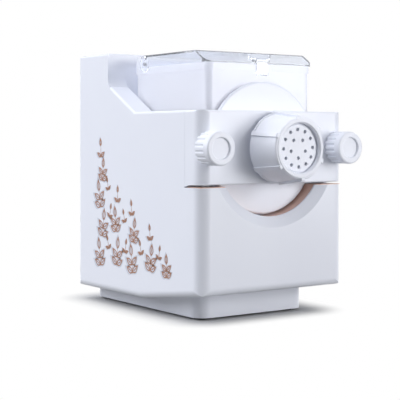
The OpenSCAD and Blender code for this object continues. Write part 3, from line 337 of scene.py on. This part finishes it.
copper_foil = moulded("copper_foil_print", "#B58468", "#9C6E57", 0.45, 0.4, 0.005)
grey_ink = moulded("grey_screen_ink", "#DDE0E9", "#D2D6E1", 0.6, 0.4, 0.005)
LEAF = {"length": 0.0150, "width": 0.0078, "line": 0.0012, "vein": 0.0013}
TWO_PAIRS_FROM = 20
FULL_LEAVES_FROM = 28
STEM_WIDTH = 0.0009
SHADOW_DROP = Vector((0.0010, -0.0010))
SHADOW_SCALE = (1.25, 1.35)
for number, (forward, up, lean, long) in enumerate(TWIGS, 1):
    foil, shade = bmesh.new(), bmesh.new()
    foot = Vector((PRINT_REAR - forward / 1000, up / 1000))
    heading = math.radians(lean)
    way = Vector((math.cos(heading), math.sin(heading)))
    pairs = 2 if long > TWO_PAIRS_FROM else 1
    share = min(1.0, long / FULL_LEAVES_FROM)
    print_patch(foil, leaf_outline(foot, heading, long / 1000 * 0.8, STEM_WIDTH), INK)
    leaves = [(foot + way * long / 1000 * 0.72, heading)]
    for i in range(pairs):
        here = foot + way * long / 1000 * (0.08 + 0.60 * i / pairs)
        leaves += [(here, heading + side * math.radians(58 - 6 * i)) for side in (1, -1)]
    for here, turn in leaves:
        length, width = LEAF["length"] * share, LEAF["width"] * share
        print_ring(foil, leaf_outline(here, turn, length, width),
                   leaf_outline(here, turn, length, width, LEAF["line"]), INK)
        start = here + length * 0.2 * Vector((math.cos(turn), math.sin(turn)))
        print_patch(foil, leaf_outline(start, turn, length * 0.55, LEAF["vein"]), INK)
        under = leaf_outline(here + SHADOW_DROP, turn, length * SHADOW_SCALE[0], width * SHADOW_SCALE[1])
        print_patch(shade, under, INK / 3)
    finished(foil, f"print_twig_foil_{number}", copper_foil, "root")
    finished(shade, f"print_twig_shadow_{number}", grey_ink, "root")

# ---------------------------------------------------------------------------
# Copper-coloured trim
# A thin strip, moulded and then painted in a copper metallic, that lines the scoop and the slit.
# The seal behind the disc shows the same colour.
# ---------------------------------------------------------------------------
copper_paint = moulded("copper_metallic_paint", "#F4CDBA", "#E8B9A2", 0.42, 0.6, 0.01, coat=0.4)
dress(["copper_trim", "front_seal"], copper_paint)

# ---------------------------------------------------------------------------
# Motor, gearbox and boards
# They are screwed together on two steel plates inside the housing, and show only through slots.
# ---------------------------------------------------------------------------


def metal(name, pale, deep, roughness, grain_mm, stretch):
    """Drawn, turned or rolled metal: a grain drawn out along one direction, which spreads the highlight."""
    made, tree, out = bare(name)
    place = add(tree, "ShaderNodeTexCoord")
    drawn = add(tree, "ShaderNodeMapping", {"Scale": stretch}, {"Vector": place.outputs["Object"]})
    grain = add(tree, "ShaderNodeTexNoise", {"Scale": 1000 / grain_mm, "Detail": 3.0},
                {"Vector": drawn.outputs["Vector"]})
    tint = add(tree, "ShaderNodeMix", {"data_type": "RGBA", 6: linear(pale), 7: linear(deep)},
               {0: grain.outputs["Fac"]})
    gloss = add(tree, "ShaderNodeMapRange", {"To Min": roughness - 0.06, "To Max": roughness + 0.08},
                {"Value": grain.outputs["Fac"]})
    bump = add(tree, "ShaderNodeBump", {"Strength": 0.2, "Distance": 0.00001},
               {"Height": grain.outputs["Fac"]})
    surface = add(tree, "ShaderNodeBsdfPrincipled", {"Metallic": 1.0},
                  {"Base Color": tint.outputs[2], "Roughness": gloss.outputs["Result"],
                   "Normal": bump.outputs["Normal"]})
    tree.links.new(surface.outputs[0], out.inputs["Surface"])
    return made


rolled_steel = metal("steel_cold_rolled", "#B9BBBE", "#9C9EA2", 0.34, 0.8, (1, 1, 8))
turned_steel = metal("steel_turned", "#C4C6C9", "#A8AAAE", 0.26, 0.6, (8, 1, 8))
dress(["gearbox_front_plate", "gearbox_rear_plate", "motor_case"], rolled_steel)
dress(["gearbox_posts", "gear_pins", "output_bearings", "tie_rods", "motor_screws", "motor_pinion",
       "output_shaft", "mixer_shaft", "hinge_pins", "latch_pin"], turned_steel)
black_nylon = moulded("nylon_black_satin", "#202124", "#17181A", 0.5, 0.8, 0.03)
dress(["motor_end_bell", "motor_fan", "power_inlet"], black_nylon)
winding = metal("winding_enamelled_copper", "#A4622F", "#7E4420", 0.42, 0.7, (6, 1, 6))
dress(["motor_rotor"], winding)
board_lacquer = moulded("circuit_board_lacquer", "#1E6B3A", "#17552E", 0.35, 1.2, 0.02, coat=0.4)
dress(["power_board", "panel_board"], board_lacquer)
white_nylon = moulded("nylon_natural_white", "#EDEAE0", "#E4E0D3", 0.42, 0.9, 0.03)
dress(["first_gear", "second_gear", "output_gear", "mixing_paddle", "auger"], white_nylon)
soften(["mixing_paddle"], 0.0006)

# ---------------------------------------------------------------------------
# Control panel on the tower
# A flat white panel lies in the top of the tower, with a dark window and four grey push buttons.
# ---------------------------------------------------------------------------
dress(["control_panel"], white_abs)
soften(["control_panel"], 0.0004)
window_acrylic = moulded("acrylic_smoked", "#0C0D10", "#08090B", 0.08, 3.0, 0.005, ior=1.49)
dress(["display_window"], window_acrylic)


def turned_piece(name, profile, centre, material, body, around=56):
    """A round piece from a profile of (radius, height) points, on an upright axis."""
    mesh = bmesh.new()
    rings = []
    for radius, height in profile:
        if radius == 0:
            rings.append([mesh.verts.new((centre[0], centre[1], height))])
            continue
        turns = [2 * math.pi * i / around for i in range(around)]
        rings.append([mesh.verts.new(
            (centre[0] + radius * math.cos(t), centre[1] + radius * math.sin(t), height)) for t in turns])
    for low, high in zip(rings, rings[1:]):
        for i in range(around):
            j = (i + 1) % around
            corners = [low[i % len(low)], low[j % len(low)], high[j % len(high)], high[i % len(high)]]
            mesh.faces.new(list(dict.fromkeys(corners)))
    made = finished(mesh, name, material, body, smooth=True)
    sharp = made.modifiers.new("crisp_edges", "EDGE_SPLIT")
    sharp.split_angle = math.radians(40)
    return made


def flat_marks(name, outlines, low, high, material, body):
    """Flat raised marks on an upward face, each a closed (x, y) outline or a pair for a ring."""
    mesh = bmesh.new()
    for outline in outlines:
        loops = [outline] if not isinstance(outline[0][0], tuple) else list(outline)
        if len(loops) == 2:
            rows = [[mesh.verts.new((x, y, z)) for x, y in loop] for loop, z in (
                (loops[0], low), (loops[0], high), (loops[1], high), (loops[1], low))]
            for first, second in zip(rows, rows[1:] + rows[:1]):
                for i in range(len(first)):
                    j = (i + 1) % len(first)
                    mesh.faces.new((first[i], first[j], second[j], second[i]))
            continue
        under = [mesh.verts.new((x, y, low)) for x, y in outline]
        over = [mesh.verts.new((x, y, high)) for x, y in outline]
        mesh.faces.new(under[::-1])
        mesh.faces.new(over)
        for i in range(len(outline)):
            j = (i + 1) % len(outline)
            mesh.faces.new((under[i], under[j], over[j], over[i]))
    return finished(mesh, name, material, body)


def bar(x, y, length, width, turn=0.0):
    """A bar with pointed ends, as a closed (x, y) outline."""
    c, s = math.cos(turn), math.sin(turn)
    half, side = length / 2, width / 2
    local = [(-half, 0), (side - half, -side), (half - side, -side),
             (half, 0), (half - side, side), (side - half, side)]
    return [(x + u * c - v * s, y + u * s + v * c) for u, v in local]


def circle(x, y, radius, start=0.0, sweep=2 * math.pi, steps=40):
    """Points round a circle or along an arc."""
    whole = abs(sweep - 2 * math.pi) < 1e-6
    return [(x + radius * math.cos(start + sweep * i / steps),
             y + radius * math.sin(start + sweep * i / steps))
            for i in range(steps if whole else steps + 1)]


# The buttons are dished for the fingertip, and each has its sign printed in the dish.
BUTTON_R = 0.007
FLANGE_DOWN = (0.0042, 0.0028)
button_abs = moulded("abs_grey_satin", "#8D9096", "#83868C", 0.42, 0.7, 0.03)
white_ink = moulded("white_screen_ink", "#F2F3F5", "#E6E8EC", 0.6, 0.4, 0.005)
BUTTONS = ["power_button", "program_button", "time_button", "start_button"]
for name in BUTTONS:
    low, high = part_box(name)
    x, y, top = (low.x + high.x) / 2, (low.y + high.y) / 2, high.z
    flange_r = (high.x - low.x) / 2
    flange_z = [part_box("control_panel")[1].z - FLANGE_DOWN[0],
                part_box("control_panel")[1].z - FLANGE_DOWN[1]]
    cap = turned_piece(name.replace("button", "key"), [
        (0, low.z), (BUTTON_R, low.z), (BUTTON_R, flange_z[0]), (flange_r, flange_z[0]),
        (flange_r, flange_z[1]), (BUTTON_R, flange_z[1]), (BUTTON_R, top - 0.0006),
        (BUTTON_R - 0.0002, top - 0.0002), (BUTTON_R - 0.0006, top), (BUTTON_R - 0.0012, top - 0.00005),
        (0.0045, top - 0.0003), (0.0025, top - 0.0005), (0, top - 0.00055)],
        (x, y), button_abs, name)
    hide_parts(name)
    signs = {
        "power_button": [circle(x, y, 0.0024, math.radians(125), math.radians(290))
                         + circle(x, y, 0.0019, math.radians(125), math.radians(290))[::-1],
                         bar(x, y + 0.0018, 0.0026, 0.0005, math.pi / 2)],
        "program_button": [bar(x, y + k * 0.0013, 0.0042, 0.0005) for k in (-1, 0, 1)],
        "time_button": [(circle(x, y, 0.0024), circle(x, y, 0.0019)),
                        bar(x, y + 0.0008, 0.0018, 0.00045, math.pi / 2),
                        bar(x + 0.0006, y, 0.0014, 0.00045)],
        "start_button": [[(x - 0.0015, y - 0.002), (x + 0.0022, y), (x - 0.0015, y + 0.002)]],
    }
    flat_marks(name.replace("button", "sign"), signs[name], top - 0.0006, top - 0.00035, white_ink, name)

# The window shows two plain lit figures, each made of bars.
SEGMENT = 0.0042
SEGMENT_WIDTH = 0.0007
LIT = {"1": "bc", "2": "abged"}
lamp, tree, out = bare("figures_lit")
place = add(tree, "ShaderNodeTexCoord")
spread = add(tree, "ShaderNodeTexNoise", {"Scale": 700.0}, {"Vector": place.outputs["Object"]})
blue = add(tree, "ShaderNodeMix", {"data_type": "RGBA", 6: linear("#BFE6FF"), 7: linear("#A8D8F8")},
           {0: spread.outputs["Fac"]})
shine = add(tree, "ShaderNodeEmission", {"Strength": 0.8}, {"Color": blue.outputs[2]})
tree.links.new(shine.outputs[0], out.inputs["Surface"])
low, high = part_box("display_window")
figures = []
for place_x, figure in ((-0.0052, "1"), (0.0052, "2")):
    x, y = (low.x + high.x) / 2 + place_x, (low.y + high.y) / 2
    half = SEGMENT / 2
    where = {"a": (x, y + SEGMENT, 0), "b": (x + half, y + half, 1), "c": (x + half, y - half, 1),
             "d": (x, y - SEGMENT, 0), "e": (x - half, y - half, 1), "g": (x, y, 0)}
    figures += [bar(where[k][0], where[k][1], SEGMENT * 0.9, SEGMENT_WIDTH, where[k][2] * math.pi / 2)
                for k in LIT[figure]]
flat_marks("display_figures", figures, high.z - 0.0001, high.z + 0.00003, lamp, "root")

# ---------------------------------------------------------------------------
# Screws of the cover and the base
# Pan-head steel screws with a cross recess, turned and then plated.
# ---------------------------------------------------------------------------
HEAD_R = 0.003
SHANK_R = 0.0015
COVER_HEAD_T = 0.0015
BASE_HEAD_T = 0.0024
CROSS = (0.0017, 0.00045, 0.0009)


def screw(name, tip, out_turn, head_t, length, material):
    """A screw whose head faces out, with its cross recess and its plain shank."""
    mesh = bmesh.new()
    long, half, deep = CROSS
    cross = []
    for k in range(4):
        c, s = math.cos(k * math.pi / 2), math.sin(k * math.pi / 2)
        cross += [(u * c - v * s, u * s + v * c) for u, v in ((half, -half), (long, -half), (long, half))]
    rims = [(HEAD_R - 0.0006, 0.0), (HEAD_R - 0.0001, -0.0003), (HEAD_R, -0.0007), (HEAD_R, -head_t),
            (SHANK_R, -head_t), (SHANK_R, 0.0004 - length), (0.0010, -length)]
    around = 32
    turns = [2 * math.pi * i / around for i in range(around)]
    rings = [[mesh.verts.new((r * math.cos(t), r * math.sin(t), z)) for t in turns] for r, z in rims]
    for first, second in zip(rings, rings[1:]):
        for i in range(around):
            mesh.faces.new((first[i], second[i], second[(i + 1) % around], first[(i + 1) % around]))
    mesh.faces.new(rings[-1][::-1])
    mouth = [mesh.verts.new((u, v, 0.0)) for u, v in cross]
    bottom = [mesh.verts.new((u * 0.8, v * 0.8, -deep)) for u, v in cross]
    for i in range(len(cross)):
        j = (i + 1) % len(cross)
        mesh.faces.new((mouth[i], mouth[j], bottom[j], bottom[i]))
    mesh.faces.new(bottom)
    edges = [mesh.edges.get((loop[i], loop[(i + 1) % len(loop)]))
             for loop in (rings[0], mouth) for i in range(len(loop))]
    bmesh.ops.triangle_fill(mesh, use_beauty=True, edges=edges)
    mesh.transform(Matrix.Translation(tip) @ out_turn)
    made = finished(mesh, name, material, "root", smooth=True)
    sharp = made.modifiers.new("crisp_edges", "EDGE_SPLIT")
    sharp.split_angle = math.radians(30)
    return made


plated = metal("steel_zinc_plated", "#C9CACC", "#AEB0B4", 0.3, 0.5, (1, 1, 1))
low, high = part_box("cover_screws")
spots = [(x, z) for x in (low.x + HEAD_R, high.x - HEAD_R) for z in (low.z + HEAD_R, high.z - HEAD_R)]
for number, (x, z) in enumerate(spots, 1):
    made = screw(f"cover_screw_{number}", Vector((x, high.y, z)), Matrix.Rotation(-math.pi / 2, 4, "X"),
                 COVER_HEAD_T, high.y - low.y, plated)
    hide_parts("cover_screws")
low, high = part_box("base_screws")
spots = [(x, y) for x in (low.x + HEAD_R, high.x - HEAD_R) for y in (low.y + HEAD_R, high.y - HEAD_R)]
for number, (x, y) in enumerate(spots, 1):
    made = screw(f"base_screw_{number}", Vector((x, y, low.z)), Matrix.Rotation(math.pi, 4, "X"),
                 BASE_HEAD_T, high.z - low.z, plated)
    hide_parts("base_screws")

# ---------------------------------------------------------------------------
# Mixing bowl and lid
# Both are moulded in clear polycarbonate. The bowl's walls are slightly milky from the mould's
# fine texture, and the lid is polished clear.
# ---------------------------------------------------------------------------


POLYCARBONATE_IOR = 1.585


def clear(name, tint, roughness, milk, peel_mm):
    """Clear moulded polycarbonate with a share of milk, which scatters light to both sides of the wall.

    Light from the lamps passes through it, less what the milk holds back.
    """
    made, tree, out = bare(name)
    place = add(tree, "ShaderNodeTexCoord")
    peel = add(tree, "ShaderNodeTexNoise", {"Scale": 1000 / peel_mm, "Detail": 1.0},
               {"Vector": place.outputs["Object"]})
    gloss = add(tree, "ShaderNodeMapRange", {"To Min": roughness, "To Max": roughness + 0.04},
                {"Value": peel.outputs["Fac"]})
    bump = add(tree, "ShaderNodeBump", {"Strength": 0.15, "Distance": peel_mm / 150000},
               {"Height": peel.outputs["Fac"]})
    glassy = add(tree, "ShaderNodeBsdfPrincipled",
                 {"Base Color": linear(tint), "IOR": POLYCARBONATE_IOR, "Transmission Weight": 1.0},
                 {"Roughness": gloss.outputs["Result"], "Normal": bump.outputs["Normal"]})
    outward = add(tree, "ShaderNodeBsdfPrincipled", {"Base Color": linear(tint), "IOR": POLYCARBONATE_IOR},
                  {"Roughness": gloss.outputs["Result"], "Normal": bump.outputs["Normal"]})
    inward = add(tree, "ShaderNodeBsdfTranslucent", {"Color": linear(tint)})
    milky = add(tree, "ShaderNodeMixShader", {0: 0.5}, {1: outward.outputs[0], 2: inward.outputs[0]})
    wall = add(tree, "ShaderNodeMixShader", {0: milk}, {1: glassy.outputs[0], 2: milky.outputs[0]})
    passing = add(tree, "ShaderNodeBsdfTransparent",
                  {"Color": [v * (1 - milk / 2) for v in linear(tint)[:3]] + [1.0]})
    path = add(tree, "ShaderNodeLightPath")
    surface = add(tree, "ShaderNodeMixShader", None,
                  {0: path.outputs["Is Shadow Ray"], 1: wall.outputs[0], 2: passing.outputs[0]})
    tree.links.new(surface.outputs[0], out.inputs["Surface"])
    return made


milky_polycarbonate = clear("polycarbonate_milky", "#EEEFF3", 0.28, 0.6, 3.0)
clear_polycarbonate = clear("polycarbonate_clear", "#F6F8FC", 0.03, 0.06, 6.0)
dress(["bowl"], milky_polycarbonate)
dress(["lid", "lid_latch"], clear_polycarbonate)
soften(["bowl", "lid", "lid_latch"], 0.0005)
bush_acetal = moulded("acetal_grey", "#7D8086", "#73767B", 0.4, 0.8, 0.02)
dress(["bowl_bush"], bush_acetal)

# ---------------------------------------------------------------------------
# Front panel, die and nuts
# The beam and disc are white ABS. The ring nut and the thumb nuts are the same, with ribs for grip.
# ---------------------------------------------------------------------------
dress(["front_plate", "front_beam", "die", "die_nut", "left_thumb_nut", "right_thumb_nut"], white_abs)
soften(["front_plate", "front_beam", "die_nut", "left_thumb_nut", "right_thumb_nut"], 0.0006)
soften(["die"], 0.0003)
